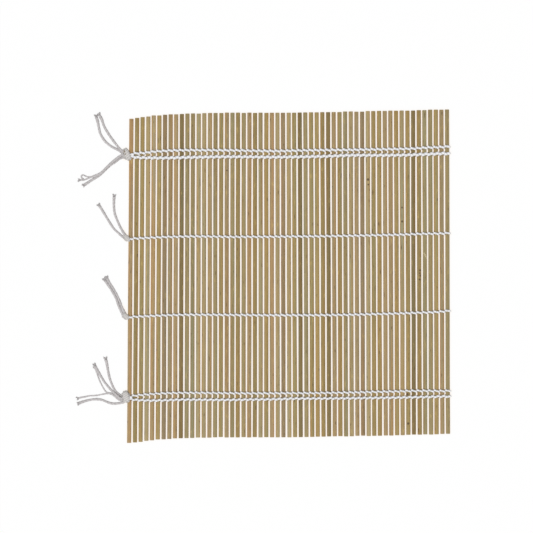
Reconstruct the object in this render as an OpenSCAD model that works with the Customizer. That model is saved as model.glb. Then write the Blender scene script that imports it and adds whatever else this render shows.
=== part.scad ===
// Sushi rolling mat: bamboo slats laid side by side and bound by six doubled cotton cords.
// Each cord is folded round the last slat. Its two strands twine over and under every slat
// and are knotted beside the first one, and their loose ends lie on the table.
// Millimetres. +X runs across the slats, away from the knots, +Y along them, +Z up.
// The origin is on the table, under the middle of the slats, cords and knots.

/* [Slats] */
// Number of slats
slat_count = 57; // [20:1:57]
// Length of a slat
slat_length = 240; // [210:5:300]
// Width of the widest slats
slat_w = 3.1; // [2.5:0.05:3.1]
// Thickness of a slat at its crown
slat_t = 1.8; // [1.4:0.1:2.2]
// Distance from one slat to the next
pitch = 4.19; // [4.19:0.01:4.6]
// How far the skin side of a slat is crowned
crown = 0.15; // [0.05:0.05:0.3]
// How much narrower the narrowest slats are
width_spread = 0.12; // [0:0.01:0.3]
// How far a slat may lie off its even place, each way
place_spread = 0.05; // [0:0.01:0.06]
// How much longer or shorter a slat may be
length_spread = 0.4; // [0:0.1:1]

/* [Cords] */
// Thickness of a strand, pulled tight round the slats
cord_d = 1; // [0.8:0.05:1]
// Place of each double row, from the middle of the mat
double_rows = [90.7, -88.8];
// Place of each single row, from the middle of the mat
single_rows = [29.2, -28.8];
// Distance between the two cords of a double row
double_gap = 4.6; // [3:0.1:6]
// Sideways step of a strand over one slat
twine = 1.4; // [1.1:0.1:1.6]

/* [Knots and loose ends] */
// Outer diameter of a turn of cord in a knot
knot_d = 3.9; // [3:0.1:4.1]
// Diameter of a loose end, which is slack
tail_d = 1.7; // [1.2:0.1:1.7]
// Diameter of one ply, where a loose end has come untwisted
ply_d = 0.9; // [0.6:0.1:0.9]

/* [Hidden] */
// Gap between a strand and a slat
clear = 0.12;
// Gap between a knot and the first slat
knot_clear = 0.2;
// Width of a strand where it is squeezed between two slats, and the bevel of its bends
squeezed_w = 0.85;
bevel = 0.35;
// Distance of a cord of a double row from the middle of their knot, inside it
in_knot = 0.6;
// Distance between the middles of two turns in a knot, and how far its core stands out
turn_step = 1.75;
core_out = 0.9;
core_d = 2.6;
turn_d = 1.6;
tube_sides = 8;
$fn = 32;

// How far the slats lie along Y, and how far they lean, by slat: the mat is slightly skewed
slat_drift = [[1, -3.4], [3, -2.4], [5, -1.2], [8, -0.3], [11, 0.3], [17, 0.9], [29, 0.9],
              [38, 1.6], [49, 2.5], [57, 3.4]];
slat_lean = [[1, -0.42], [11, -0.15], [25, 0], [31, 0.2], [57, 0.17]];
// How far the cords lie along Y, and how wide a double row is, by slat
cord_drift = [[1, -1.3], [5, -0.8], [11, -0.1], [27, 0], [35, 0.2], [41, 0.6], [48, 1.2],
              [54, 1.9], [57, 2.4]];
row_spread = [[1, 0.42], [2, 0.74], [4, 0.92], [7, 1.08], [22, 0.9], [28, 1], [57, 1.1]];
place_noise = rands(-1, 1, slat_count, 11);
width_noise = rands(0, 1, slat_count, 23);
length_noise = rands(-1, 1, slat_count, 37);

// Heights of the middle of the slats, and of a strand over or under them from there
mid_z = slat_t / 2 + clear + cord_d;
wave_z = slat_t / 2 + clear + cord_d / 2;
// The six cords: each row's place, its side in a double row, the way it twists and its knot
cords = [[double_rows[0], 1, 1, 0], [double_rows[0], -1, -1, 0], [single_rows[0], 0, 1, 1],
         [single_rows[1], 0, 1, 2], [double_rows[1], 1, 1, 3], [double_rows[1], -1, -1, 3]];
// The four knots: each one's place along the first slat, from its row, and its turns
knots = [[double_rows[0], 3], [single_rows[0], 2], [single_rows[1], 2], [double_rows[1], 3]];

function slat_name(k) = str("slat_", k < 10 ? "0" : "", k);
function width(k) = slat_w - width_spread * width_noise[k - 1];
function length_of(k) = slat_length + length_spread * length_noise[k - 1];
function drift(k) = lookup(k, slat_drift);
function lean(k) = lookup(k, slat_lean);
// Middle of slat k, and where it is when one is y along, counted from the middle slat
function even_x(k) = (k - (slat_count + 1) / 2) * pitch + place_spread * place_noise[k - 1];
function bare_x(k, y) = even_x(k) - tan(lean(k)) * (y - drift(k));
function bare_left(y) = bare_x(1, y) - width(1) / 2;
function bare_right(y) = bare_x(slat_count, y) + width(slat_count) / 2;
knot_reach = knot_clear + knot_d;
loop_reach = clear + cord_d;
shift_x = -(bare_left(double_rows[1]) - knot_reach + bare_right(double_rows[1]) + loop_reach) / 2;
function slat_x(k, y) = bare_x(k, y) + shift_x;
function knot_at(n) = let (y = knots[n][0] + lookup(1, cord_drift))
    [bare_left(y) + shift_x - knot_clear - knot_d / 2, y];

// Middle of gap k at a height y along the mat, half way between the slats beside it
function gap_x(k, y) = (slat_x(k, y) + width(k) / 2 + slat_x(k + 1, y) - width(k + 1) / 2) / 2;
function row_y(c, k) = cords[c][0] + lookup(k, cord_drift)
    + cords[c][1] * double_gap / 2 * lookup(k, row_spread);
// Where cord c passes gap k on its way up, side 1, or down, side -1. Gap 0 is the knot and
// the last gap the fold round the last slat, where both are in one place
function pass(c, k, side) =
    k == 0 ? knot_at(cords[c][3]) + [0, cords[c][1] * in_knot]
    : k == slat_count ? let (y = row_y(c, k))
        [slat_x(k, y) + width(k) / 2 + clear + cord_d / 2, y]
    : let (y = row_y(c, k + 0.5)) [gap_x(k, y), y + side * cords[c][2] * twine / 2];

function arc(x, z, r, from, to, steps) =
    [for (i = [0:steps]) let (a = from + (to - from) * i / steps) [x + r * cos(a), z + r * sin(a)]];

// Outline of a slat: flat back with small edges, rounded shoulders and a crowned skin
function slat_outline(w) = let (
    foot = 0.25,
    shoulder = 0.5,
    half = w / 2 - shoulder,
    crown_r = (half * half + crown * crown) / (2 * crown),
    crown_a = asin(half / crown_r),
    top = slat_t / 2 - crown
) concat(
    arc(foot - w / 2, foot - slat_t / 2, foot, 180, 270, 2),
    arc(w / 2 - foot, foot - slat_t / 2, foot, 270, 360, 2),
    arc(half, top - shoulder, shoulder, 0, 90 - crown_a, 3),
    arc(0, slat_t / 2 - crown_r, crown_r, 90 - crown_a / 2, 90 + crown_a / 2, 2),
    arc(-half, top - shoulder, shoulder, 90 + crown_a, 180, 3)
);

// One slat, sawn off square at both ends
module slat(k) {
    color(k % 3 == 0 ? "#a3915f" : k % 3 == 1 ? "#b09a6c" : "#a8905e")
        translate([slat_x(k, drift(k)), drift(k), mid_z])
            rotate([90, 0, lean(k)])
                linear_extrude(length_of(k), center = true)
                    polygon(slat_outline(width(k)));
}

// Corners of a strand's outline, seen along the slats, at gap k. Side 1 is its upper edge
// and side -1 its lower one. The strand goes down there, way -1, or up, way 1
function wave_corner(c, k, way, side) = let (
    x = pass(c, k, way)[0],
    h = squeezed_w / 2,
    out = wave_z + cord_d / 2,
    in = wave_z - cord_d / 2,
    corner = [[x - way * side * (h - bevel), side * out], [x - way * side * h, side * (out - bevel)],
              [x - way * side * h, -side * in]]
) way * side > 0 ? [corner[2], corner[1], corner[0]] : corner;

function flip(p) = [for (i = [len(p) - 1:-1:0]) p[i]];

// Way that strand s of a cord goes at gap k: strand 0 lies over the odd slats
function way(s, k) = (k + s) % 2 == 0 ? 1 : -1;

// Strand s of cord c. Its outline seen along the slats is cut out of its route from above
module strand(c, s) {
    gaps = [0:slat_count];
    back = [for (i = [0:slat_count]) slat_count - i];
    route = [for (k = gaps) pass(c, k, way(s, k))];
    intersection() {
        rotate([90, 0, 0])
            linear_extrude(4 * slat_length, center = true)
                polygon(concat(
                    [for (k = gaps) each wave_corner(c, k, way(s, k), 1)],
                    [for (k = back) each flip(wave_corner(c, k, way(s, k), -1))]
                ));
        translate([0, 0, -slat_t - cord_d])
            linear_extrude(2 * (slat_t + cord_d))
                polygon(concat(
                    [for (p = route) p + [0, cord_d / 2]],
                    [for (k = back) route[k] - [0, cord_d / 2]]
                ));
    }
}

// Cord c whole, from its knot round the last slat and back to its knot
module cord(c) {
    translate([0, 0, mid_z])
        for (s = [0, 1]) strand(c, s);
}

module row_cords() {
    color("#e8e6e8")
        for (c = [0:len(cords) - 1]) cord(c);
}

// Turns of cord pulled tight round a core, in line with the first slat
module knot(turns) {
    rotate([90, 0, 0])
        cylinder(h = (turns - 1) * turn_step + turn_d + 2 * core_out, d = core_d, center = true);
    for (i = [0:turns - 1])
        translate([0, (i - (turns - 1) / 2) * turn_step, 0])
            rotate([90, 0, 0])
                rotate_extrude()
                    translate([(knot_d - turn_d) / 2, 0]) circle(d = turn_d);
}

module knots() {
    color("#dcd8d8")
        for (n = [0:len(knots) - 1])
            translate([knot_at(n)[0], knot_at(n)[1], knot_d / 2])
                knot(knots[n][1]);
}

// Heights of a slack cord and of a single ply, lying on the table
low = tail_d / 2;
ply = ply_d / 2;
// Routes of the loose ends, from the middle of their knot. Each starts inside the knot
tails = [
    [0, [[-0.8, 2.3, 2.9], [-3.2, 3.5, 2.8], [-5.1, 5.4, 1.9], [-6.7, 7.7, 1.1],
         [-9.7, 11.8, low], [-12.6, 15.9, low], [-15.1, 19.8, low], [-16.9, 23.5, low],
         [-18.1, 27, low], [-19.6, 29.8, low]]],
    [0, [[-1.6, 0.9, 1], [-3.9, 2.6, 0.9], [-6.4, 4.4, low], [-9.7, 6.1, low], [-12.8, 8.1, low],
         [-15.6, 10.4, low], [-17.7, 13.3, low], [-19.2, 16.6, low], [-20.3, 20.9, low],
         [-21.3, 25.4, low], [-22.2, 28.3, low]]],
    [0, [[-1.5, 0.4, 2.9], [-3.5, 0, 2.8], [-5.8, -1.4, 2.8], [-8.1, -3.2, 2.8],
         [-10.4, -5, 2.85], [-13, -7.5, 2.85], [-15.4, -10.1, 2.85], [-17.9, -12.7, 2.8],
         [-20.5, -14.5, 2.6], [-23.4, -15.5, 1.9], [-26.3, -16.4, low], [-28.8, -17.4, low],
         [-31.5, -18.2, low], [-33.9, -18.3, low]]],
    [0, [[-1.1, -1.4, 1.2], [-3.1, -1.7, 1], [-5.5, -2.7, 0.95], [-8.4, -4.7, low],
         [-11.2, -6.5, low], [-13.7, -8.9, low], [-16.1, -11.5, low], [-18.4, -13.9, low],
         [-20.7, -15.9, low], [-23.4, -17.4, low], [-26.3, -19, low], [-29.1, -20.9, low],
         [-30.9, -22, low]]],
    [1, [[-1.3, 0.7, 2], [-2.9, 1.8, 1.2], [-4.8, 3.3, low], [-6.9, 5, low], [-8.9, 7.2, low],
         [-10.6, 10, low], [-12.2, 12.9, low], [-14.1, 16, low], [-16, 19.2, low],
         [-17.7, 22.2, low], [-19.1, 24.3, low]]],
    [1, [[0.1, 2.1, 2], [-1.3, 3.8, 1.5], [-2.6, 6.4, low], [-3.9, 9.2, low], [-5.2, 12.3, low],
         [-6.7, 15.7, low], [-7.8, 19, low], [-8.4, 22.9, low], [-8.7, 27, low], [-8.5, 31, low]]],
    [2, [[0.1, 1.7, 2], [0, 2.4, 1.8], [-0.9, 4.9, 1.1], [-1.9, 7.7, low], [-3.1, 11, low],
         [-4.3, 13.8, low], [-5.8, 16.9, low], [-7.5, 19.9, low], [-9.2, 22.7, low],
         [-10.8, 25.4, low], [-12.4, 29.1, low]]],
    [2, [[-1.4, -0.4, 2], [-1.8, 1.6, 1.7], [-2.9, 4.1, 1.1], [-4, 7.3, low], [-5.4, 10.7, low],
         [-6.6, 13.7, low], [-8.1, 16.6, low], [-9.8, 19.5, low], [-11.4, 22.2, low],
         [-13, 24.6, low], [-14.7, 27.1, low]]],
    [3, [[-1, 0.4, 1], [-2.4, 1.1, 1], [-3.6, 2.3, low], [-4.7, 3.8, low], [-5.8, 5.5, low],
         [-7.2, 7.6, low], [-8.5, 9.8, low], [-9.6, 12.4, low], [-10.5, 15.4, low],
         [-11.2, 18.6, low], [-11.8, 22.3, low], [-12.4, 26, low], [-13.1, 28.6, low]]],
    [3, [[-1, -0.4, 2.8], [-2.6, -0.3, 2.7], [-4.1, 0.6, 2.4], [-5.3, 2, 2.1], [-6.7, 3.8, 1.9],
         [-8.4, 5.5, 1.2], [-10.2, 7.3, low], [-12.2, 9.7, low], [-14, 12.2, low],
         [-15.7, 14.9, low], [-17.2, 17.8, low], [-18.7, 20.8, low], [-19.9, 22.8, low],
         [-20.7, 24.4, low]]],
    [3, [[-1.2, -1.6, 1], [-2.9, -1.6, 0.9], [-4.4, -0.9, low], [-5.9, 0.3, low],
         [-7.4, 1.7, low], [-9, 2.8, low], [-10.9, 3.5, low], [-12.4, 3.6, low]]],
    [3, [[-0.9, -3.3, 1.7], [-2.7, -3.6, 1.2], [-4.8, -4.1, low], [-7.6, -4.4, low],
         [-10.6, -3.8, low], [-13.5, -2.5, low], [-16.5, -1.2, low], [-19.8, -0.7, low],
         [-23.5, -1, low], [-27.2, -1.8, low], [-30.5, -2.8, low], [-33.3, -3.8, low]]]
];
// The end that has come untwisted, and the routes of its two plies
split_tail = 10;
plies = [
    [[-11.7, 3.6, ply], [-13.9, 3.3, ply], [-16.9, 2.8, ply], [-19.8, 2.1, ply],
     [-22.8, 1.8, ply], [-25.7, 1.7, ply], [-29.1, 1, ply], [-32.4, 0.4, ply], [-33.9, 0, ply]],
    [[-11.7, 3.5, ply], [-13.9, 4.7, ply], [-15.5, 6.9, ply], [-17, 9.7, ply], [-18.5, 12.8, ply],
     [-19.7, 16, ply], [-20.8, 19.3, ply], [-21.6, 21.5, ply]]
];

function unit(v) = v / norm(v);
function along(p, i) = unit(p[min(i + 1, len(p) - 1)] - p[max(i - 1, 0)]);
// A closed tube along the points p: a ring of corners at each, square to the way it runs
function ring(p, i, r) = let (
    t = along(p, i),
    side = unit(cross([0, 0, 1], t)),
    up = cross(t, side)
) [for (s = [0:tube_sides - 1]) let (a = (s + 0.5) * 360 / tube_sides)
    p[i] + r * (side * cos(a) + up * sin(a))];

module tube(p, d) {
    n = tube_sides;
    r = d / 2 / cos(180 / n);
    last = (len(p) - 1) * n;
    polyhedron(
        points = [for (i = [0:len(p) - 1]) each ring(p, i, r)],
        faces = concat(
            [[for (s = [0:n - 1]) s]],
            [for (i = [0:len(p) - 2], s = [0:n - 1])
                [i * n + s, i * n + n + s, i * n + n + (s + 1) % n]],
            [for (i = [0:len(p) - 2], s = [0:n - 1])
                [i * n + s, i * n + n + (s + 1) % n, i * n + (s + 1) % n]],
            [[for (s = [n - 1:-1:0]) last + s]]
        )
    );
}

module loose_ends() {
    color("#c9c4c4")
        for (i = [0:len(tails) - 1])
            translate([knot_at(tails[i][0])[0], knot_at(tails[i][0])[1], 0]) {
                tube(tails[i][1], tail_d);
                if (i == split_tail)
                    for (p = plies) tube(p, ply_d);
            }
}

for (k = [1:slat_count])
    slat(k);
row_cords();
knots();
loose_ends();
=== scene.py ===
# A sushi rolling mat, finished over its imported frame: bamboo slats, the cotton cords that
# twine over and under them, the knots beside the first slat and the loose ends.
# Lengths are in metres; mm turns millimetres into them.
import math

import bpy
import numpy as np
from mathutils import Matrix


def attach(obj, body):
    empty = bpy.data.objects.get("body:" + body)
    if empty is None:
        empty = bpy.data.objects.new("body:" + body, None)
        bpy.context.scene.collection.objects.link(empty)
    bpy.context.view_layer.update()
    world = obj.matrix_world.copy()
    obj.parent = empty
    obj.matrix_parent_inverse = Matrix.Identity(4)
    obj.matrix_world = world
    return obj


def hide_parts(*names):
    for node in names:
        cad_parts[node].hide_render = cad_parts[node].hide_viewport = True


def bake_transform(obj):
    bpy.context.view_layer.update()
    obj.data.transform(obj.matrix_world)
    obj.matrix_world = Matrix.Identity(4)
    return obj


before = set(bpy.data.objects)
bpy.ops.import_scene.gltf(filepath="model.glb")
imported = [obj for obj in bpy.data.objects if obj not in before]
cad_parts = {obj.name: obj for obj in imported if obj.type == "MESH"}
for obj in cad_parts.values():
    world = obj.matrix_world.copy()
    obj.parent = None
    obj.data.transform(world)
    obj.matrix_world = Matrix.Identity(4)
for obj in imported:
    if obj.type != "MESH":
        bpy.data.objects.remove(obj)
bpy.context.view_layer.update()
mm = 0.001
slatNames = sorted(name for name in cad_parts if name.startswith("slat_"))
slatCount = len(slatNames)
scene = bpy.context.scene
scene.view_settings.view_transform = "Standard"


class Wire:
    # One output of a node. Sums on it add Math nodes, or Vector Math nodes for a vector.

    def __init__(self, sketch, socket):
        self.sketch, self.socket = sketch, socket

    def maths(self, operation, *values):
        kind = "ShaderNodeVectorMath" if self.socket.type == "VECTOR" else "ShaderNodeMath"
        return self.sketch.node(kind, {"operation": operation}, values)

    def __add__(self, other):
        return self.maths("ADD", self, other)

    def __radd__(self, other):
        return self.maths("ADD", other, self)

    def __sub__(self, other):
        return self.maths("SUBTRACT", self, other)

    def __rsub__(self, other):
        return self.maths("SUBTRACT", other, self)

    def __mul__(self, other):
        return self.maths("MULTIPLY", self, other)

    def __rmul__(self, other):
        return self.maths("MULTIPLY", other, self)

    def __pow__(self, other):
        return self.maths("POWER", self, other)

    def ofSize(self):
        return self.maths("ABSOLUTE", self)

    def orMore(self, other):
        return self.maths("MAXIMUM", self, other)

    def ramp(self, low, high):
        # 0 below low, 1 above high, smooth between
        return self.sketch.node(
            "ShaderNodeMapRange", {"interpolation_type": "SMOOTHSTEP"}, [self, low, high]
        )


class Sketch:
    # The nodes of one material, or of the world.

    def __init__(self, name, owner=None):
        self.owner = owner or bpy.data.materials.new(name)
        self.owner.use_nodes = True
        self.tree = self.owner.node_tree
        self.tree.nodes.clear()

    def node(self, kind, settings=None, values=(), output=0):
        # Adds a node, sets it up, then fills its inputs by place or by name
        made = self.tree.nodes.new(kind)
        for name, value in (settings or {}).items():
            setattr(made, name, value)
        for where, value in values.items() if isinstance(values, dict) else enumerate(values):
            if isinstance(value, Wire):
                self.tree.links.new(value.socket, made.inputs[where])
            else:
                made.inputs[where].default_value = value
        return Wire(self, made.outputs[output])

    def mix(self, factor, first, second, blend="MIX"):
        settings = {"data_type": "RGBA", "blend_type": blend}
        return self.node("ShaderNodeMix", settings, {0: factor, 6: first, 7: second}, output=2)

    def attribute(self, name, output="Fac"):
        return self.node("ShaderNodeAttribute", {"attribute_name": name}, output=output)

    def place(self, scale):
        # Object coordinates, counted in cells of which there are so many in a metre
        spot = self.node("ShaderNodeTexCoord", output="Object")
        return self.node("ShaderNodeMapping", None, {0: spot, 3: scale})

    def noise(self, vector, detail=2.0, roughness=0.5):
        values = {"Vector": vector, "Scale": 1.0, "Detail": detail, "Roughness": roughness}
        return self.node("ShaderNodeTexNoise", None, values)

    def bump(self, height, distance, strength=1.0):
        values = {"Strength": strength, "Distance": distance, "Height": height}
        return self.node("ShaderNodeBump", None, values)

    def stainedAndShaded(self, colour, roundSpots, spotColour):
        # A colour with round spots in it, each at its place and of its size: real stain marks and a scratch on
        # the bamboo, painted shade on the top knot
        spot = self.node("ShaderNodeTexCoord", output="Object")
        for place, size in roundSpots:
            away = self.node("ShaderNodeVectorMath", {"operation": "DISTANCE"}, [spot, place], "Value")
            colour = self.mix((1 - away.ramp(size * 0.45, size)) * 0.9, colour, spotColour)
        return colour

    def finish(self, shader, kind="ShaderNodeOutputMaterial"):
        output = self.tree.nodes.new(kind)
        self.tree.links.new(shader.socket, output.inputs[0])
        return self.owner


def addObject(name, data):
    made = bpy.data.objects.new(name, data)
    scene.collection.objects.link(made)
    return made


# Camera, light and floor

cameraSettings = {
    "seenWidth": 394.1 * mm,  # width of the picture at the top of the slats
    "middle": (-14.9 * mm, 7.2 * mm),
    "height": 1.6,
    "slatTop": 2.9 * mm,
    "sensor": 36,
}
lightSettings = {
    "world": 0.66,
    "sunStrength": 1.3,
    "sunTurn": (math.radians(24), math.radians(-20), 0),
    "sunAngle": math.radians(40),
}
floorSettings = {
    "size": 3.0,
    "colour": (0.94, 0.935, 0.93, 1),
    "glow": 0.95,  # share of plain white in what the camera sees
    "reach": 2 * mm,  # how near the bamboo a painted tinted shade lies on that white, and its colour below
    "warm": (1.0, 0.85, 0.69, 1),
    "paintedShadeFrom": (-122 * mm, -119 * mm),  # where that painted shade sets in, across the mat
}


def makeCamera():
    settings = cameraSettings
    data = bpy.data.cameras.new("camera")
    data.sensor_width = settings["sensor"]
    data.lens = data.sensor_width * (settings["height"] - settings["slatTop"]) / settings["seenWidth"]
    camera = addObject("camera", data)
    camera.location = (*settings["middle"], settings["height"])
    scene.camera = camera


def makeLight():
    settings = lightSettings
    scene.world = bpy.data.worlds.new("studio")
    sky = Sketch("studio", scene.world)
    glow = sky.node("ShaderNodeBackground", None, [(1, 1, 1, 1), settings["world"]])
    sky.finish(glow, "ShaderNodeOutputWorld")
    data = bpy.data.lights.new("sun", "SUN")
    data.energy = settings["sunStrength"]
    data.angle = settings["sunAngle"]
    addObject("sun", data).rotation_euler = settings["sunTurn"]


def makeFloor():
    # Pale, and nearly white to the camera, with a little of the mat's shadow left and a painted tinted shade near
    # the bamboo
    settings = floorSettings
    half = settings["size"] / 2
    mesh = bpy.data.meshes.new("floor")
    mesh.from_pydata([(-half, -half, 0), (half, -half, 0), (half, half, 0), (-half, half, 0)], [], [(0, 1, 2, 3)])
    sketch = Sketch("paleFloor")
    rays = ["Is Camera Ray", "Is Glossy Ray", "Is Transmission Ray"]
    seen, gloss, through = [sketch.node("ShaderNodeLightPath", output=ray) for ray in rays]
    share = seen.orMore(gloss).orMore(through) * settings["glow"]
    matt = sketch.node("ShaderNodeBsdfDiffuse", None, [settings["colour"]])
    values = {"Distance": settings["reach"]}
    clear = sketch.node("ShaderNodeAmbientOcclusion", {"samples": 8}, values, output="AO")
    spot = sketch.node("ShaderNodeTexCoord", output="Object")
    across = sketch.node("ShaderNodeSeparateXYZ", None, [spot], output="X")
    beside = 1 - across.ramp(*settings["paintedShadeFrom"])
    # Painted shade: past where it sets in, the white glow takes the tint wherever ambient occlusion finds bamboo
    # within reach, as in the gaps between the slats
    tone = sketch.mix(clear.orMore(beside), settings["warm"], (1, 1, 1, 1))
    white = sketch.node("ShaderNodeEmission", None, [tone, 1.0])
    mesh.materials.append(sketch.finish(sketch.node("ShaderNodeMixShader", None, [share, matt, white])))
    addObject("floor", mesh)


makeCamera()
makeLight()
makeFloor()
print("camera, light and floor made")

# Shapes


def unit(vectors):
    return vectors / np.linalg.norm(vectors, axis=-1, keepdims=True)


def distances(points):
    # How far along the line through the points each one is
    return np.concatenate([[0], np.cumsum(np.linalg.norm(np.diff(points, axis=0), axis=1))])


def smoothRoute(points, count):
    # A cubic Hermite curve through the points, with slopes from their neighbours, cut into
    # count points an even way apart
    points = np.array(points, float)
    s = distances(points)
    slope = np.gradient(points, s, axis=0)
    t = np.linspace(0, s[-1], count)
    k = np.clip(np.searchsorted(s, t, side="right") - 1, 0, len(s) - 2)
    h = (s[k + 1] - s[k])[:, None]
    u = (t - s[k])[:, None] / h
    return (
        (2 * u**3 - 3 * u**2 + 1) * points[k]
        + (u**3 - 2 * u**2 + u) * h * slope[k]
        + (3 * u**2 - 2 * u**3) * points[k + 1]
        + (u**3 - u**2) * h * slope[k + 1]
    )


def sweep(centres, radius, twist, reference, sides, groove, broad=1.0, closed=False):
    # A cord of two plies: round each centre c a ring c + r (side cos a + broad up sin a), where
    # side is square to the reference direction, a is b plus the twist, b goes once round, and
    # r is the radius pinched by 1 - groove sin(b)^4 between the plies
    if closed:
        tangents = unit(np.roll(centres, -1, axis=0) - np.roll(centres, 1, axis=0))
    else:
        tangents = unit(np.gradient(centres, distances(centres), axis=0))
    side = unit(np.cross(reference, tangents))
    up = np.cross(tangents, side)
    radius, twist, broad = (
        np.broadcast_to(v, len(centres))[:, None] for v in (radius, twist, broad)
    )
    b = 2 * np.pi * np.arange(sides) / sides
    r = radius * (1 - groove * np.sin(b) ** 4)
    across, over = r * np.cos(b + twist), broad * r * np.sin(b + twist)
    return centres[:, None] + across[..., None] * side[:, None] + over[..., None] * up[:, None]


class Shape:
    # Tubes gathered into one mesh. Each is a grid of rings, and is capped unless it is closed.

    def __init__(self):
        self.points, self.quads, self.caps, self.uvs, self.capMaterials = [], [], [], [], []
        self.values, self.count = {}, 0

    def tube(self, rings, lengths, closed=False, capMaterial=0, **values):
        along, around = rings.shape[:2]
        index = self.count + np.arange(along * around).reshape(along, around)
        if closed:
            index = np.vstack([index, index[:1]])
        else:
            self.caps += [index[0, ::-1].tolist(), index[-1].tolist()]
            self.capMaterials += [capMaterial] * 2
        beside = np.roll(index, -1, axis=1)
        quads = np.stack([index[:-1], beside[:-1], beside[1:], index[1:]], axis=-1)
        u = np.arange(around + 1) / around
        v = [lengths[:-1], lengths[:-1], lengths[1:], lengths[1:]]
        corners = np.empty(quads.shape + (2,))
        corners[..., 0] = np.stack([u[:-1], u[1:], u[1:], u[:-1]], axis=-1)
        corners[..., 1] = np.stack(v, axis=-1)[:, None]
        self.quads.append(quads.reshape(-1, 4))
        self.uvs.append(corners.reshape(-1, 2))
        self.points.append(rings.reshape(-1, 3))
        for name, value in values.items():
            whole = np.broadcast_to(value, (along, around, np.shape(value)[-1]))
            self.values.setdefault(name, []).append(whole.reshape(along * around, -1))
        self.count += along * around

    def build(self, name, *materials):
        mesh = bpy.data.meshes.new(name)
        quads = np.concatenate(self.quads)
        mesh.from_pydata(np.concatenate(self.points), [], quads.tolist() + self.caps)
        capCorners = sum(len(cap) for cap in self.caps)
        uvs = np.concatenate([*self.uvs, np.full((capCorners, 2), 0.5)])
        mesh.uv_layers.new(name="UVMap").data.foreach_set("uv", uvs.ravel())
        for key, parts in self.values.items():
            data = np.concatenate(parts)
            kind, field = ("FLOAT", "value") if data.shape[1] == 1 else ("FLOAT_COLOR", "color")
            mesh.attributes.new(key, kind, "POINT").data.foreach_set(field, data.ravel())
        for material in materials:
            mesh.materials.append(material)
        isCap = np.arange(len(mesh.polygons)) >= len(quads)
        mesh.polygons.foreach_set("use_smooth", ~isCap)
        mesh.polygons.foreach_set("material_index", [0] * len(quads) + self.capMaterials)
        mesh.update()
        return addObject(name, mesh)


def grooveOf(sides):
    # 1 along the grooves between the plies, 0 on the plies: where painted shade darkens a cord
    return (np.sin(2 * np.pi * np.arange(sides) / sides) ** 4)[None, :, None]


def addCord(shape, centres, radius, turns, sides, groove, up=(0, 0, 1), broad=1.0, closed=False,
            phase=0.0, dark=(0, 1)):
    # Adds a cord of two plies to a shape: it turns so many times from end to end, and dark gives
    # its painted shade on its plies and between them
    s = distances(np.vstack([centres, centres[:1]]) if closed else centres)
    twist = phase + 2 * np.pi * turns * s[: len(centres)] / s[-1]
    rings = sweep(centres, radius, twist, up, sides, groove, broad, closed)
    rings[..., 2] = np.maximum(rings[..., 2], 0)
    shape.tube(rings, s, closed, groove=dark[0] + (dark[1] - dark[0]) * grooveOf(sides))


# Cotton

cottonSettings = {
    # Each kind: its colour, and the painted shade between its plies, as a share of that colour
    "row": ((0.93, 0.93, 0.95, 1), 0.62),
    "knot": ((0.69, 0.665, 0.64, 1), 0.5),
    "tail": ((0.63, 0.60, 0.60, 1), 0.55),
    "wornShade": 0.8,
    "fibresRound": 2.2,
    "fibresAlong": 900,
    "fibreTwist": 1500,
    "fibreDepth": 0.08 * mm,
    # Painted shade in the hollows of the top knot, as dark round spots: places and sizes
    "roundSpots": [
        ((-120.3 * mm, 92.3 * mm, 3.7 * mm), 1.3 * mm),
        ((-119.3 * mm, 90.3 * mm, 4.0 * mm), 0.8 * mm),
    ],
    # the colour of that painted shade
    "spotColour": (0.25, 0.20, 0.14, 1),
}


def darkened(colour, share):
    return tuple(c * share for c in colour[:3]) + (1,)


def cottonMaterial(kind):
    # Cotton yarn: fine fibres run slantwise round the cord, and the groove attribute paints shade on it
    settings = cottonSettings
    colour, grooveShade = settings[kind]
    sketch = Sketch(f"{kind}Cotton")
    uv = sketch.node("ShaderNodeTexCoord", output="UV")
    around = sketch.node("ShaderNodeSeparateXYZ", None, [uv], output="X")
    along = sketch.node("ShaderNodeSeparateXYZ", None, [uv], output="Y")
    angle = around * (2 * math.pi) + along * settings["fibreTwist"]
    ring = [angle.maths(wave, angle) * settings["fibresRound"] for wave in ("COSINE", "SINE")]
    spot = sketch.node("ShaderNodeCombineXYZ", None, [*ring, along * settings["fibresAlong"]])
    fibres = sketch.noise(spot, 3.0, 0.65)
    blotches = sketch.noise(sketch.place((260, 260, 260)))
    # Painted shade: the groove attribute darkens the colour, down to grooveShade of it, in the grooves between
    # the plies and wherever a piece sets more
    tone = sketch.mix(sketch.attribute("groove"), colour, darkened(colour, grooveShade))
    worn = (fibres * 0.6 + blotches * 0.4).ramp(0.35, 0.7)
    tone = sketch.mix(worn * 0.5, tone, darkened(colour, settings["wornShade"]))
    if kind == "knot":
        # Painted shade: dark spots in the hollows of the top knot
        tone = sketch.stainedAndShaded(tone, settings["roundSpots"], settings["spotColour"])
    values = {
        "Base Color": tone,
        "Roughness": 0.9,
        "Specular IOR Level": 0.2,
        "Sheen Weight": 0.2,
        "Normal": sketch.bump(fibres, settings["fibreDepth"]),
    }
    return sketch.finish(sketch.node("ShaderNodeBsdfPrincipled", None, values))


rowCotton, knotCotton, tailCotton = map(cottonMaterial, ("row", "knot", "tail"))

# Places, read from the frame


def nodePoints(name):
    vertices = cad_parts[name].data.vertices
    points = np.empty(len(vertices) * 3)
    vertices.foreach_get("co", points)
    return points.reshape(-1, 3)


def slatPlace(name):
    # Middle, half sizes and lean of a slat; lean is how far x moves for each metre along it
    points = nodePoints(name)
    low, high = points.min(axis=0), points.max(axis=0)
    middle = (low + high) / 2
    ends = [points[np.abs(points[:, 1] - y) < 2 * mm, 0].mean() for y in (low[1], high[1])]
    lean = (ends[1] - ends[0]) / (high[1] - low[1])
    across = points[:, 0] - lean * (points[:, 1] - middle[1])
    middle[0] = (across.min() + across.max()) / 2
    return middle, [np.ptp(across) / 2, *(high - middle)[1:]], lean


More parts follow.
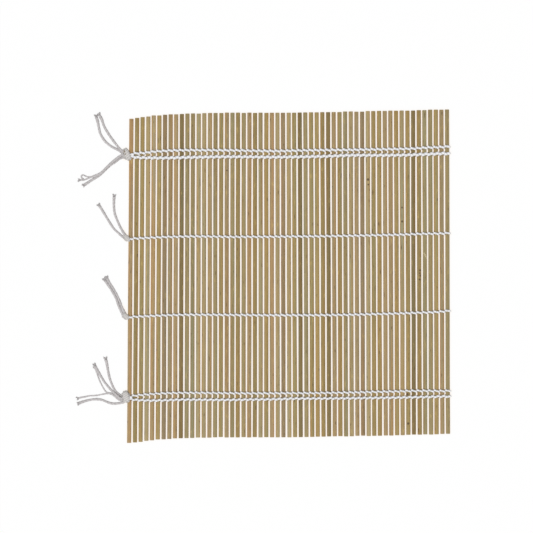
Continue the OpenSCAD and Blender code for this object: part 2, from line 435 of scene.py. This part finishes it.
slatMiddles, slatHalves, slatLeans = map(np.array, zip(*map(slatPlace, slatNames)))
middleHeight = slatMiddles[:, 2].mean()
knotPoints = nodePoints("knots")
knotPoints = knotPoints[np.argsort(-knotPoints[:, 1])]
knotSplits = np.flatnonzero(np.diff(knotPoints[:, 1]) < -5 * mm) + 1
knotMiddles = [(part.min(axis=0) + part.max(axis=0)) / 2 for part in np.split(knotPoints, knotSplits)]


def slatX(k, y):
    # Middle of slat k, counted from 1, where it is y along the mat
    return slatMiddles[k - 1, 0] + slatLeans[k - 1] * (y - slatMiddles[k - 1, 1])


# Loose ends

tailSettings = {
    "diameter": 2 * mm,
    "plyDiameter": 1.25 * mm,
    "lay": 5.5 * mm,  # length of one whole turn of the two plies
    "step": 0.55 * mm,
    "sides": 12,
    "groove": 0.1,
    # Painted shade: none on the plies, this much along the grooves between them
    "dark": (0, 0.45),
    "unevenness": 0.1,
    "swell": ([0, 0.7, 1], [1, 0.97, 1.2]),  # how thick it is along its length
    "pathPoints": 30,
}
# Each loose end: its knot, then its route from the middle of that knot, in millimetres.
# A point with no height lies on the table
tailRoutes = [
    (0, [(-0.8, 2.3, 2.55), (-3.2, 3.5, 2.55), (-5.2, 5.3, 1.9), (-7, 7.5, 1.1), (-10.1, 11.5),
         (-13, 15.7), (-15.4, 19.6), (-17.1, 23.4), (-18.3, 26.9), (-19.8, 29.7)]),
    (0, [(-1.6, 0.9, 1), (-3.9, 2.6, 0.9), (-6.5, 4.3), (-9.8, 5.9), (-12.9, 8), (-15.6, 10.4),
         (-17.7, 13.3), (-19.4, 16.6), (-20.4, 20.9), (-21.3, 25.4), (-22.2, 28.3)]),
    (0, [(-1.5, 0.4, 2.9), (-3.5, 0, 2.8), (-5.8, -1.4, 2.8), (-8.1, -3.2, 2.8), (-10.4, -5, 2.85),
         (-13, -7.5, 2.85), (-15.5, -10, 2.85), (-18, -12.5, 2.8), (-20.7, -14.1, 2.6),
         (-23.5, -15.2, 1.9), (-26.4, -16.1), (-28.9, -17.2), (-31.5, -18.1), (-33.9, -18.2)]),
    (0, [(-1.1, -1.4, 1.2), (-3.1, -1.7, 1), (-5.5, -2.7, 0.95), (-8.3, -4.9), (-11.2, -6.6),
         (-13.7, -8.9), (-16.2, -11.4), (-18.6, -13.6), (-21, -15.5), (-23.6, -17), (-26.4, -18.7),
         (-29.2, -20.6), (-31, -21.7)]),
    (1, [(-1.3, 0.7, 2), (-2.9, 1.8, 1.2), (-4.7, 3.4), (-6.7, 5.2), (-8.8, 7.3), (-10.7, 10),
         (-12.4, 12.8), (-14.3, 15.8), (-16.2, 19), (-18, 22), (-19.4, 24.1)]),
    (1, [(0.1, 2.1, 2), (-1.3, 3.8, 1.5), (-2.8, 6.3), (-4.3, 9), (-5.7, 12.1), (-7.1, 15.5),
         (-8.2, 18.9), (-8.7, 22.9), (-8.8, 27), (-8.6, 31)]),
    (2, [(0.1, 1.7, 2), (0, 2.4, 1.8), (-1.1, 4.8, 1.1), (-2.6, 7.5), (-3.7, 10.7), (-4.9, 13.5),
         (-6.3, 16.6), (-8, 19.6), (-9.7, 22.4), (-11.6, 25.1), (-13.3, 28.5)]),
    (2, [(-1.4, -0.4, 2), (-1.8, 1.6, 1.7), (-3, 4.1, 1.1), (-4.4, 7.2), (-5.7, 10.6),
         (-6.8, 13.7), (-8.2, 16.6), (-9.9, 19.4), (-11.5, 22.1), (-13.3, 24.6), (-15, 27)]),
    (3, [(-1, 0.4, 1), (-2.4, 1.1, 1), (-3.7, 2.3), (-5.2, 3.6), (-6.6, 4.9), (-8, 7.1),
         (-9.1, 9.5), (-10.2, 12.2), (-11.2, 15.2), (-11.9, 18.5), (-12.6, 22.1), (-13.2, 25.8),
         (-13.9, 28.4)]),
    (3, [(-1, -0.4, 2.8), (-2.6, -0.3, 2.7), (-4.1, 0.6, 2.4), (-5.5, 1.8, 2.1), (-7.2, 3.3, 1.9),
         (-9, 5, 1.2), (-10.8, 6.8), (-12.8, 9.2), (-14.8, 11.7), (-16.5, 14.4), (-18.2, 17.2),
         (-19.9, 20.2), (-21.1, 22.2), (-21.9, 23.8)]),
    (3, [(-1.2, -1.6, 1), (-2.9, -1.6, 0.9), (-4.4, -0.9), (-5.9, 0.3), (-7.4, 1.7), (-9, 2.7),
         (-10.9, 3.4), (-13.9, 3.1, 0.58), (-16.9, 2.6, 0.58), (-19.8, 2, 0.58),
         (-22.8, 1.7, 0.58), (-25.7, 1.6, 0.58), (-29.1, 0.9, 0.58), (-32.4, 0.3, 0.58),
         (-33.9, -0.1, 0.58)]),
    (3, [(0.5, -2.3, 2.1), (-0.9, -3.2, 1.7), (-2.7, -3.6, 1.2), (-4.8, -4), (-7.6, -4.2),
         (-10.6, -3.8), (-13.6, -2.7), (-16.6, -1.5), (-19.8, -1), (-23.5, -1.1), (-27.2, -1.8),
         (-30.5, -2.7), (-33.3, -3.7)]),
]
# The loose ends that have come apart: the point from which each is one ply, whether its other
# ply is frayed, and the route of that ply
tailSplits = {
    2: (10, False, [
        (-24, -15.5, 1.5), (-26.2, -15.8, 0.8), (-28.6, -15.8, 0.65), (-30.6, -15.1, 0.65),
        (-32.3, -14.4, 0.65), (-33.3, -15.2, 0.65), (-32.9, -16.8, 0.65), (-31.8, -17.6, 0.8),
    ]),
    10: (7, True, [
        (-9.4, 2.8, 0.9), (-11.2, 3.4, 0.75), (-13.9, 4.7, 0.58), (-15.5, 6.9, 0.58),
        (-17, 9.7, 0.58), (-18.5, 12.8, 0.58), (-19.7, 16, 0.58), (-20.8, 19.3, 0.58),
        (-21.6, 21.5, 0.58),
    ]),
}
fraySettings = {
    "ply": 2.1 * mm,  # length of a loosened ply past the end
    "spread": math.radians(32),
    "radius": 0.7 * mm,
    "tip": 1.25,  # how much thicker it is near its tip
    # Painted shade on the frayed plies and fibres, for the dark cores of the frayed ends: on the plies, and
    # between them
    "dark": (0.35, 1),
    "fibres": 9,
    "fibre": 1.2 * mm,
    "fibreRadius": 0.07 * mm,
}


def tailPoints(knot, route, lying):
    # A route from the middle of its knot, in metres
    spots = np.array([spot if len(spot) == 3 else (*spot, lying / mm) for spot in route]) * mm
    spots[:, :2] += knotMiddles[knot][:2]
    return spots


def addTail(shape, points, radius, seed):
    # A slack cord along a route, with a radius at each point, and its thickness a little uneven
    settings = tailSettings
    chance = np.random.default_rng(seed)
    length = distances(smoothRoute(points, 200))[-1]
    count = round(length / settings["step"])
    centres = smoothRoute(points, count)
    along = np.linspace(0, 1, count)
    marks = distances(points)
    radius = np.interp(along * marks[-1], marks, radius)
    wobble = np.interp(along, np.linspace(0, 1, 12), chance.uniform(-1, 1, 12))
    radius = radius * (1 + settings["unevenness"] * wobble) * np.interp(along, *settings["swell"])
    centres[:, 2] = np.maximum(centres[:, 2], radius)
    addCord(shape, centres, radius, length / settings["lay"], settings["sides"],
            settings["groove"], phase=chance.uniform(0, 6), dark=settings["dark"])
    return centres, length


def addFray(shape, centres, radius, seed):
    # The end of a cord has come apart: its plies part and thicken, and thin fibres stand out, all darkened by
    # painted shade
    settings = fraySettings
    chance = np.random.default_rng(seed)
    end = centres[-1]
    ahead = unit((centres[-1] - centres[-4]) * [1, 1, 0])
    beside = np.array([-ahead[1], ahead[0], 0])
    along = np.linspace(0, 1, 12)
    swell = np.interp(along, [0, 0.4, 0.75, 0.92, 1], [0.8, 0.9, 1, settings["tip"], 0.7])
    for way in (-1, 1):
        angle = way * settings["spread"] * chance.uniform(0.6, 1.15)
        out = math.cos(angle) * ahead + math.sin(angle) * beside
        reach = settings["ply"] * chance.uniform(0.7, 1.1)
        points = np.array([
            end - ahead * radius * 1.5,
            end + ahead * reach * 0.15 + beside * way * radius * 0.35,
            end + out * reach * 0.6,
            end + out * reach,
        ])
        plyRadius = settings["radius"] * min(1, radius / (0.7 * mm)) * swell
        spots = smoothRoute(points, 12)
        spots[:, 2] = np.maximum(spots[:, 2] * (1 - along), plyRadius)
        addCord(shape, spots, plyRadius, 0.6, 8, 0.1, phase=chance.uniform(0, 6),
                dark=settings["dark"])
        for _ in range(settings["fibres"]):
            lean = angle + chance.normal(0, 0.5)
            start = spots[chance.integers(7, 12)] + chance.normal(0, 0.12, 3) * mm
            rise = [0, 0, chance.uniform(-0.3, 0.5)]
            ray = math.cos(lean) * ahead + math.sin(lean) * beside + rise
            ray = ray * settings["fibre"] * chance.uniform(0.4, 1)
            curl = np.cross(ray, [0, 0, 1]) * chance.uniform(-0.5, 0.5)
            hair = start + np.outer([0, 0.35, 0.7, 1], ray) + np.outer([0, 0.05, 0.25, 0.6], curl)
            thin = settings["fibreRadius"] * np.array([1, 0.9, 0.7, 0.4])
            hair[:, 2] = np.maximum(hair[:, 2], thin)
            addCord(shape, hair, thin, 0, 3, 0, dark=settings["dark"])


def makeTail(i, knot, route):
    settings = tailSettings
    radius, plyRadius = settings["diameter"] / 2, settings["plyDiameter"] / 2
    thinFrom, otherFrayed, otherPly = tailSplits.get(i, (len(route), False, []))
    points = tailPoints(knot, route, radius)
    shape, fray = Shape(), Shape()
    radii = np.where(np.arange(len(route)) < thinFrom, radius, plyRadius)
    centres, length = addTail(shape, points, radii, 100 + i)
    addFray(fray, centres, radii[-1], 200 + i)
    if otherPly:
        spots = tailPoints(knot, otherPly, radius)
        plyCentres, _ = addTail(fray, spots, np.full(len(spots), plyRadius), 300 + i)
        if otherFrayed:
            addFray(fray, plyCentres, plyRadius, 400 + i)
    tail = shape.build(f"loose_end_{i + 1:02d}", tailCotton)
    frayed = fray.build(f"frayed_end_{i + 1:02d}", tailCotton)
    for piece in (tail, frayed):
        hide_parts("loose_ends")
        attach(piece, slatNames[0])
    smoothRoute(points, settings["pathPoints"])


for i, (knot, route) in enumerate(tailRoutes):
    makeTail(i, knot, route)
print("loose ends made")

# Cords over and under the slats

rowSettings = {
    # Each cord: its row's place, its side in a double row, the way it twists, its knot, and
    # how broad its strand lies over a slat, as a share of its height
    "cords": [
        (90.7 * mm, 1, 1, 0, 1.7),
        (90.7 * mm, -1, -1, 0, 2.15),
        (29.2 * mm, 0, 1, 1, 1.5),
        (-28.8 * mm, 0, 1, 2, 1.5),
        (-88.8 * mm, 1, 1, 3, 1.4),
        (-88.8 * mm, -1, -1, 3, 1.65),
    ],
    "doubleGap": 4.6 * mm,
    "twine": 1.15 * mm,  # sideways step of a strand over one slat
    "radius": 0.57 * mm,
    "rise": 1.47 * mm,  # height of a strand over or under the middle of the slats
    "bend": 0.75 * mm,
    "fold": 0.62 * mm,  # how far the fold stands off the last slat
    "inKnot": 0.6 * mm,
    # Painted shade along a strand through a gap: darkest where it dips between the slats
    "paintedStrandShade": [0, 0, 0.3, 0.8, 1, 1, 0.8, 0.3, 0, 0],
    "sides": 8,
    "groove": 0.1,
    # How far the cords lie along the mat, and how wide a double row is, by slat
    "drift": [(1, -1.3), (5, -0.8), (11, -0.1), (27, 0), (35, 0.2), (41, 0.6), (48, 1.2),
              (54, 1.9), (57, 2.4)],
    "spread": [(1, 0.36), (2, 0.74), (4, 0.92), (7, 1.08), (22, 0.9), (28, 1), (57, 1.1)],
    # How far each cord strays from that, by its place and side, then by slat
    "strays": {
        (90.7 * mm, 1): [(2, 0), (3, -0.7), (4, -0.1), (9, 0.3), (20, 0.3), (27, -0.4), (33, 0),
                         (44, -0.2), (51, -0.4), (53, 0.1)],
        (90.7 * mm, -1): [(2, 0), (11, -0.35), (17, 0), (25, -0.4), (35, 0.1), (40, 0.7),
                          (45, 0.25), (50, 0), (55, 0.35)],
        (29.2 * mm, 0): [(1, -0.1), (7, 0.45), (14, 0.4), (19, 0), (30, 0.2), (50, 0.3),
                         (53, 0.5), (57, 0.1)],
        (-28.8 * mm, 0): [(1, 0.1), (8, 0.6), (16, 0.45), (24, 0.1), (38, -0.15), (45, 0),
                          (55, 0.3), (57, 0.7)],
        (-88.8 * mm, 1): [(2, 0.2), (8, 0.5), (20, 0.3), (32, 0), (50, 0.1), (53, -0.1), (57, -1)],
        (-88.8 * mm, -1): [(2, 0.3), (5, 0), (9, 0.3), (13, 0), (19, -0.35), (26, 0.1),
                           (30, 0.7), (39, 0.6), (48, 0.45), (57, 0.3)],
    },
}


def rowY(cord, k):
    # Where a cord lies along the mat at slat k, counted from 1
    drift, stray = (
        np.interp(k, *zip(*line)) * mm for line in (rowSettings["drift"], rowSettings["strays"][cord[:2]])
    )
    spread = np.interp(k, *zip(*rowSettings["spread"]))
    return cord[0] + drift + stray + cord[1] * rowSettings["doubleGap"] / 2 * spread


def wayOf(strand, k):
    # 1 where a strand goes up at gap k, -1 where it goes down: strand 0 lies over odd slats
    return 1 if (k + strand) % 2 == 0 else -1


def passOf(cord, strand, k):
    # Where a strand passes gap k, seen from above. Gap 0 is the knot, the last gap the fold
    if k == 0:
        return knotMiddles[cord[3]][:2] + [0, cord[1] * rowSettings["inKnot"]]
    if k == slatCount:
        y = rowY(cord, k)
        return np.array([slatX(k, y) + slatHalves[k - 1, 0] + rowSettings["fold"], y])
    y = rowY(cord, k + 0.5)
    edges = slatX(k, y) + slatHalves[k - 1, 0], slatX(k + 1, y) - slatHalves[k, 0]
    return np.array([sum(edges) / 2, y + wayOf(strand, k) * cord[2] * rowSettings["twine"] / 2])


def overSlat(cord, strand, k):
    # Where a strand lies over or under the middle of slat k, seen from above
    y = (passOf(cord, strand, k - 1)[1] + passOf(cord, strand, k)[1]) / 2
    return np.array([slatX(k, y), y])


def strandLine(start, crossing, end, levels, way):
    # A strand through a gap: straight, a quarter turn, straight, a quarter turn back and
    # straight. With way -1 the second turn goes on, and the strand folds back
    bend = rowSettings["bend"]
    turn = np.radians([0, 30, 60, 90])
    off, on = 1 - np.cos(turn), 1 - np.sin(turn)
    toGap, fromGap = crossing[0] - bend * on, crossing[0] + way * bend * off
    step = bend * np.sign(levels[1] - levels[0])
    x = np.concatenate([[start[0]], toGap, fromGap, [end[0]]])
    z = np.concatenate([levels[:1], levels[0] + step * off, levels[1] - step * on, levels[1:]])
    near = np.array([0, 0.72, 0.85, 0.95, 1])
    y = np.concatenate([start[1] + (crossing[1] - start[1]) * near,
                        end[1] + (crossing[1] - end[1]) * near[::-1]])
    return np.stack([x, y, middleHeight + z], axis=-1)


def broadOf(cord):
    # The strand is pressed flat over a slat, and rounder in the gap
    return 1 + (cord[4] - 1) * np.array([1, 1, 0.8, 0.4, 0.2, 0.2, 0.4, 0.8, 1, 1])


def addStrand(shape, line, broad, paintedStrandShade):
    # A strand so broad, and darkened by so much painted shade, at each point
    settings = rowSettings
    paintedStrandShade = np.array(paintedStrandShade)[:, None, None]
    # Painted shade: the given amount on the plies, and more along the grooves between them
    addCord(shape, line, settings["radius"], 0.5, settings["sides"], settings["groove"],
            (0, 1, 0), broad, dark=(paintedStrandShade, 0.3 + 0.7 * paintedStrandShade))


def rowPiece(shape, name):
    piece = shape.build(name, rowCotton)
    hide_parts("row_cords")
    return piece


def makeLink(k):
    # All the strands through gap k, from the middle of one slat to the middle of the next
    shape = Shape()
    for cord in rowSettings["cords"]:
        for strand in (0, 1):
            rise = wayOf(strand, k) * rowSettings["rise"]
            ends = [overSlat(cord, strand, n) for n in (k, k + 1)]
            line = strandLine(ends[0], passOf(cord, strand, k), ends[1], [-rise, rise], 1)
            addStrand(shape, line, broadOf(cord), rowSettings["paintedStrandShade"])
    link = rowPiece(shape, f"cord_link_{k:02d}")
    y = slatMiddles[k, 1]
    start = (slatX(k, y) + slatHalves[k - 1, 0], y, middleHeight)
    end = (slatX(k + 1, y) - slatHalves[k, 0], y, middleHeight)
    slatNames[k - 1]
    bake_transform(link)


def makeFold():
    # Each cord folded round the last slat
    shape = Shape()
    rise = rowSettings["rise"]
    upper = 0 if wayOf(0, slatCount - 1) == 1 else 1
    for cord in rowSettings["cords"]:
        ends = [overSlat(cord, strand, slatCount) for strand in (upper, 1 - upper)]
        line = strandLine(ends[0], passOf(cord, 0, slatCount), ends[1], [rise, -rise], -1)
        addStrand(shape, line, broadOf(cord), rowSettings["paintedStrandShade"])
    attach(rowPiece(shape, "cord_fold"), slatNames[-1])


def makeStart():
    # Each strand from its knot to the middle of the first slat
    shape = Shape()
    along = np.linspace(0, 1, 12)
    for cord in rowSettings["cords"]:
        broad = np.interp(along, [0, 0.4, 1], [1, 1.1, min(cord[4], 1.3)])
        for strand in (0, 1):
            inside, over = passOf(cord, strand, 0), overSlat(cord, strand, 1)
            edge = slatX(1, over[1]) - slatHalves[0, 0]
            rise = wayOf(strand, 0) * rowSettings["rise"]
            points = np.array([
                (inside[0] + 0.3 * mm, inside[1], middleHeight + 0.1 * rise),
                (edge - 0.55 * mm, (inside[1] + over[1]) / 2, middleHeight + 0.55 * rise),
                (edge + 0.3 * mm, (inside[1] + 2 * over[1]) / 3, middleHeight + 0.98 * rise),
                (over[0], over[1], middleHeight + rise),
            ])
            # Painted shade near the knot, fading towards the first slat
            addStrand(shape, smoothRoute(points, len(along)), broad, 0.3 * (1 - along))
    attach(rowPiece(shape, "cord_start"), slatNames[0])


for k in range(1, slatCount):
    makeLink(k)
makeFold()
makeStart()
print("row cords made")

# Knots

knotSettings = {
    # Each knot: strands in its bundle, its middle from the frame's, half width, half length and
    # turn, then the place, half length, turn and breadth of the band round it
    "knots": [
        (2, (-0.1, 0.6), 3.6, 4.5, 10, (0.8, 0.2), 5.0, -24, 1.75),
        (1, (0.5, 0.3), 2.9, 2.4, -28, (0.7, 0.1), 3.3, -38, 2.0),
        (1, (0.3, 0.3), 2.9, 2.4, -20, (0.6, 0.2), 3.2, -42, 2.0),
        (2, (0.7, 0.8), 4.1, 4.2, -20, (0.6, 0.3), 4.6, -14, 2.0),
    ],
    "strand": 1.75 * mm,  # thickness of a strand, pulled tight
    "apart": 0.75 * mm,  # from the middle of the bundle to the middle of a strand
    "rise": 0.8 * mm,
    "climb": 0.6 * mm,  # how much higher it lies over the first slat
    "bandHeights": (1.25 * mm, 0.25 * mm),  # half of the band's height, and its middle
    "bandGroove": 0.12,
    "bandWobble": 0.35,
    "stations": 72,
    "sides": 10,
    "turns": 6,
}


def addBundle(shape, line, strands, reference, lowest, broad=1.0, groove=0.16, dark=(0.3, 1),
              start=0.0, wobble=0.5):
    # Strands side by side round a closed line, none of them below the slat or the table, with painted shade: dark
    # gives it on their plies and in their grooves
    settings = knotSettings
    t = 2 * np.pi * np.arange(len(line)) / len(line)
    tangents = unit(np.roll(line, -1, axis=0) - np.roll(line, 1, axis=0))
    side = unit(np.cross(reference, tangents))
    up = np.cross(tangents, side)
    apart = settings["apart"] if strands > 1 else 0
    for strand in range(strands):
        a = (start + 2 * np.pi * strand / strands + wobble * np.sin(t))[:, None]
        centres = line + apart * (side * np.cos(a) + up * np.sin(a))
        s = distances(np.vstack([centres, centres[:1]]))
        twist = 2 * np.pi * settings["turns"] * s[:-1] / s[-1]
        rings = sweep(centres, settings["strand"] / 2, twist, reference, settings["sides"],
                      groove, broad, True)
        rings[..., 2] = np.maximum(rings[..., 2], lowest(rings[..., 0]))
        shade = dark[0] + (dark[1] - dark[0]) * grooveOf(settings["sides"])
        shape.tube(rings, s, True, groove=shade)


def makeKnot(number, strands, place, halfWidth, halfLength, turn, bandPlace, bandHalf, bandTurn,
             bandBroad):
    # An overhand knot pulled tight: once round, t from 0 to 2 pi, its line is
    # (R + a cos 3t) (cos 2t, sin 2t) and sin 3t high, stretched to the knot's sizes. A band of
    # the cord goes over it and under it, broad in the middle
    settings = knotSettings
    middle = knotMiddles[number] + [*(np.array(place) * mm), 0]
    edgeX = slatX(1, middle[1]) - slatHalves[0, 0]
    top = slatMiddles[0, 2] + slatHalves[0, 2]

    def over(x, height, start, end):
        # Rises to the height from a start to an end, counted from the first slat's edge
        share = np.clip((x - edgeX - start) / (end - start), 0, 1)
        return height * (3 - 2 * share) * share**2

    def lowest(x):
        return over(x, top + 0.03 * mm, -0.7 * mm, 0)

    def climbed(line):
        return line + over(line[:, :1], settings["climb"], -2.4 * mm, 0.6 * mm) * [0, 0, 1]

    t = 2 * np.pi * np.arange(settings["stations"]) / settings["stations"]
    reach = 0.62 + 0.38 * np.cos(3 * t)
    edge = (settings["apart"] if strands > 1 else 0) + settings["strand"] / 2
    flat = np.stack([-reach * np.cos(2 * t), reach * np.sin(2 * t)], axis=-1)
    flat = flat * [halfWidth * mm - edge, halfLength * mm - edge]
    angle, bandAngle = np.radians([turn, bandTurn])
    flat = flat @ [[math.cos(angle), math.sin(angle)], [-math.sin(angle), math.cos(angle)]]
    shape = Shape()
    line = np.column_stack([flat, settings["rise"] * np.sin(3 * t)]) + middle
    # Painted shade on the knot's strands: some on their plies, more in their grooves
    addBundle(shape, climbed(line), strands, (0, 0, 1), lowest)
    reach = bandHalf * mm - settings["strand"] / 2
    high, lift = settings["bandHeights"]
    band = [bandPlace[0] * mm + math.sin(bandAngle) * reach * np.cos(t),
            bandPlace[1] * mm + math.cos(bandAngle) * reach * np.cos(t),
            high * np.sin(t) + lift]
    across = (math.cos(bandAngle), -math.sin(bandAngle), 0)
    broad = 1 + (bandBroad - 1) * np.abs(np.sin(t))
    # The band gets less painted shade: none on its plies, some in its grooves
    addBundle(shape, climbed(np.column_stack(band) + middle), strands, across, lowest, broad,
              settings["bandGroove"], (0, 0.7), math.pi / 2, settings["bandWobble"])
    piece = shape.build(f"knot_{number + 1}", knotCotton)
    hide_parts("knots")
    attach(piece, slatNames[0])


for number, knot in enumerate(knotSettings["knots"]):
    makeKnot(number, *knot)
print("knots made")

# Bamboo slats

slatSettings = {
    "around": 20,
    "stations": 34,
    "bow": 0.08 * mm,  # how far a slat wanders sideways along its length
    "squareness": (2.7, 5.0),  # powers of the outline over the skin side and over the back
    "bevel": 0.16 * mm,
    "unevenness": 0.015,
    "widening": 1.03,  # width as a share of the frame's
}
# Colours of the bamboo, as shares of red, green and blue light
bambooSettings = {
    "olive": (0.366, 0.269, 0.105),
    "greenish": (0.333, 0.267, 0.127),
    "pale": (0.400, 0.313, 0.154),
    "tan": (0.388, 0.279, 0.134),
    "orange": (0.412, 0.279, 0.132),
    "brown": (0.318, 0.231, 0.087),
    "dark": (0.238, 0.176, 0.070),
    "rosy": (0.289, 0.210, 0.110),
    "usual": ["olive", "greenish", "tan", "pale", "olive", "greenish", "olive", "tan"],
    # Slats that stand out, by number
    "notable": {
        1: "orange", 2: "brown", 7: "rosy", 10: "dark", 20: "brown", 22: "orange", 23: "brown",
        26: "orange", 27: "pale", 28: "rosy", 29: "pale", 31: "dark", 36: "dark", 42: "rosy",
        49: "pale", 51: "dark", 52: "brown",
    },
    "variation": 0.045,
    "sideColour": (0.67, 0.43, 0.23, 1),  # split wood under the skin
    "edgeShade": (1.0, 0.84, 0.68, 1),
    "edgeShares": (-0.1, 1.0),  # how strongly a slat's edges take that shade, from and to
    "edgeLean": (0.25, 0.4),  # how much more the far edge takes it: its mean and spread
    "coolShade": (0.87, 1.03, 1.24, 1),  # stripes along the fibres
    "warmShade": (1.1, 0.97, 0.86, 1),
    "streakShade": (0.72, 0.66, 0.58, 1),
    "speckColour": (0.10, 0.06, 0.03, 1),
    "fleckColour": (0.60, 0.44, 0.15, 1),
    "sawnColour": (0.42, 0.30, 0.16, 1),
    "dotColour": (0.17, 0.10, 0.045, 1),
    # Dark stains: places and sizes
    "roundSpots": [
        ((60.2 * mm, 71.5 * mm, 2.9 * mm), 1.3 * mm),
        ((60.4 * mm, 67.8 * mm, 2.9 * mm), 0.9 * mm),
        ((89.9 * mm, -108.9 * mm, 2.9 * mm), 1.2 * mm),
        ((85.4 * mm, 40.5 * mm, 2.9 * mm), 1.1 * mm),
        ((85.3 * mm, 50.8 * mm, 2.9 * mm), 0.9 * mm),
        ((98.7 * mm, 4.4 * mm, 2.9 * mm), 1.0 * mm),
        ((98.5 * mm, 2.3 * mm, 2.9 * mm), 0.8 * mm),
        ((98.9 * mm, 0.5 * mm, 2.9 * mm), 1.0 * mm),
        ((98.4 * mm, -2.4 * mm, 2.9 * mm), 1.0 * mm),
        ((-44.2 * mm, 78.2 * mm, 2.9 * mm), 0.8 * mm),
        ((89.3 * mm, -87.2 * mm, 2.9 * mm), 1.3 * mm),
    ],
    # A pale scratch across one slat, as a row of spots
    "scratch": [
        ((101.7 * mm, 17.0 * mm, 2.9 * mm), 0.6 * mm),
        ((102.3 * mm, 15.8 * mm, 2.9 * mm), 0.7 * mm),
        ((102.9 * mm, 14.6 * mm, 2.9 * mm), 0.7 * mm),
        ((103.5 * mm, 13.4 * mm, 2.9 * mm), 0.6 * mm),
    ],
    "scratchColour": (0.62, 0.53, 0.33, 1),
}


def bambooColours():
    # A tint for every slat: a seeded pick from the usual ones, or the one it is known by
    settings = bambooSettings
    chance = np.random.default_rng(57)
    picks = chance.integers(0, len(settings["usual"]), slatCount)
    lift = 1 + settings["variation"] * chance.normal(0, 1, (slatCount, 1))
    names = [settings["notable"].get(k + 1, settings["usual"][pick]) for k, pick in enumerate(picks)]
    return np.array([settings[name] for name in names]) * lift


def bambooMaterial():
    # Split bamboo: a skin with warmer edges over paler wood, streaks along the fibres and
    # dark specks
    settings = bambooSettings
    sketch = Sketch("bamboo")

    def toned(share, colour, shade):
        return sketch.mix(share, colour, sketch.mix(1.0, colour, settings[shade], "MULTIPLY"))

    tint = sketch.attribute("tint", "Color")
    edge = sketch.attribute("across").ofSize()
    wide = sketch.noise(sketch.place((420, 5, 420)))
    fine = sketch.noise(sketch.place((2600, 45, 2600)), 3.0)
    speck = sketch.noise(sketch.place((1300, 170, 1300)), 1.0)
    stripes = sketch.noise(sketch.place((1500, 9, 1500)), 1.0)
    base = toned(stripes.ramp(0.5, 0.66) * 0.9, tint, "coolShade")
    base = toned((1 - stripes.ramp(0.34, 0.5)) * 0.9, base, "warmShade")
    skin = sketch.attribute("rise").ramp(0.35, 0.8)
    base = sketch.mix(skin, sketch.mix(0.3, settings["sideColour"], tint), base)
    base = toned(edge.ramp(0.45, 1.0) * sketch.attribute("warmth"), base, "edgeShade")
    streaks = (wide * 0.35 + fine * 0.45 + speck * 0.2).ramp(0.43, 0.65)
    base = toned(streaks * 0.7, base, "streakShade")
    base = sketch.mix((1 - speck).ramp(0.66, 0.74) * 0.45, base, settings["fleckColour"])
    base = sketch.mix(speck.ramp(0.69, 0.76) * 0.75, base, settings["speckColour"])
    base = sketch.stainedAndShaded(base, settings["scratch"], settings["scratchColour"])
    base = sketch.stainedAndShaded(base, settings["roundSpots"], settings["speckColour"])
    values = {
        "Base Color": base,
        "Roughness": streaks * 0.15 + 0.5,
        "Specular IOR Level": 0.25,
        "Normal": sketch.bump(fine + speck * 0.5, 0.05 * mm, 0.7),
    }
    return sketch.finish(sketch.node("ShaderNodeBsdfPrincipled", None, values))


def sawnMaterial():
    # The sawn ends: paler wood with the dark dots of its fibres cut across
    settings = bambooSettings
    sketch = Sketch("sawnBamboo")
    cells = {"Vector": sketch.place((3800, 400, 3800)), "Scale": 1.0}
    dots = sketch.node("ShaderNodeTexVoronoi", None, cells)
    rough = sketch.noise(sketch.place((2500, 2500, 2500)))
    dark = (1 - dots.ramp(0.15, 0.4)) * 0.8
    values = {
        "Base Color": sketch.mix(dark, settings["sawnColour"], settings["dotColour"]),
        "Roughness": 0.8,
        "Normal": sketch.bump(dots + rough * 0.4, 0.06 * mm, 0.8),
    }
    return sketch.finish(sketch.node("ShaderNodeBsdfPrincipled", None, values))


def makeSlat(k, tint, materials):
    # A slat: along it, rings of the outline |x/w|^n + |z/h|^n = 1, where n is less over the
    # skin than over the back; w varies a little, and the last rings draw in to a bevel
    settings = slatSettings
    chance = np.random.default_rng(1000 + k)
    middle, half, lean = slatMiddles[k], slatHalves[k], slatLeans[k]
    bevel = settings["bevel"]
    inner = np.linspace(-half[1] + bevel, half[1] - bevel, settings["stations"])
    tip = np.array([half[1] - 0.3 * bevel, half[1]])
    y = np.concatenate([-tip[::-1], inner, tip])
    drawn = np.concatenate([[bevel, 0.35 * bevel], inner * 0, [0.35 * bevel, bevel]])
    marks = np.linspace(-half[1], half[1], 7)
    bow = settings["bow"] * np.interp(y, marks, chance.uniform(-1, 1, 7))
    uneven = 1 + settings["unevenness"] * np.interp(y, marks, chance.uniform(-1, 1, 7))
    a = 2 * np.pi * (np.arange(settings["around"]) + 0.5) / settings["around"]
    power = 2 / np.where(np.cos(a) > 0, *settings["squareness"])
    outlineX = np.sign(np.sin(a)) * np.abs(np.sin(a)) ** power
    outlineZ = np.sign(np.cos(a)) * np.abs(np.cos(a)) ** power
    width, height = half[0] * settings["widening"] * uneven - drawn, half[2] - drawn
    x = (middle[0] + lean * y + bow)[:, None] + width[:, None] * outlineX
    z = middle[2] + height[:, None] * outlineZ
    rings = np.stack([x, np.broadcast_to(middle[1] + y[:, None], x.shape), z], axis=-1)
    warmthLean = chance.normal(*bambooSettings["edgeLean"])
    warmth = chance.uniform(*bambooSettings["edgeShares"]) + warmthLean * outlineX
    shape = Shape()
    shape.tube(rings, y, capMaterial=1, across=outlineX[None, :, None],
               rise=outlineZ[None, :, None], warmth=np.clip(warmth, 0, 1)[None, :, None],
               tint=[[[*tint, 1]]])
    piece = shape.build(f"bamboo_{k + 1:02d}", *materials)
    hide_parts(slatNames[k])
    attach(piece, slatNames[k])


slatMaterials = [bambooMaterial(), sawnMaterial()]
for k, tint in enumerate(bambooColours()):
    makeSlat(k, tint, slatMaterials)
print("slats made")
